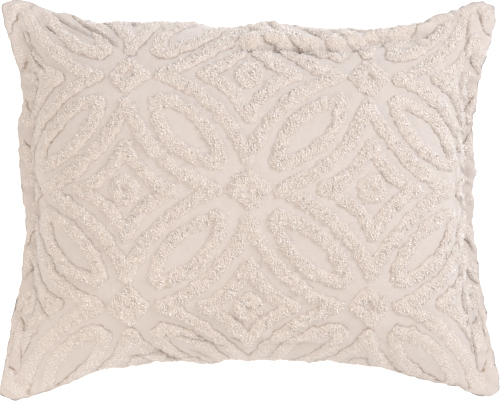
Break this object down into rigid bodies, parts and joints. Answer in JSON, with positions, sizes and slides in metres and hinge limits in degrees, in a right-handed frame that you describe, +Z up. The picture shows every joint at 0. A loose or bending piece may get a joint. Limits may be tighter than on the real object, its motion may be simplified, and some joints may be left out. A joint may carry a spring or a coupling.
{
  "type": "filled chenille pillow sham",
  "caption": "Plump rectangular pillow in a tufted cotton chenille sham: raised interlocking-ring pattern on the face, plain back, flat rims and slack corners. It dresses a bed.",
  "frame": {"origin": "middle of the flat underside, on the surface the pillow lies on", "axes": "+X along the long side, to the right when seen with the tufted face up; +Y towards the top edge; +Z up, out of the tufted face"},
  "size_m": [0.6368, 0.5115, 0.1735],
  "materials": {
    "chenille_cotton": "matte"
  },
  "bodies": {
    "root": {"pillow_sham": "chenille_cotton"}
  },
  "joints": []
}
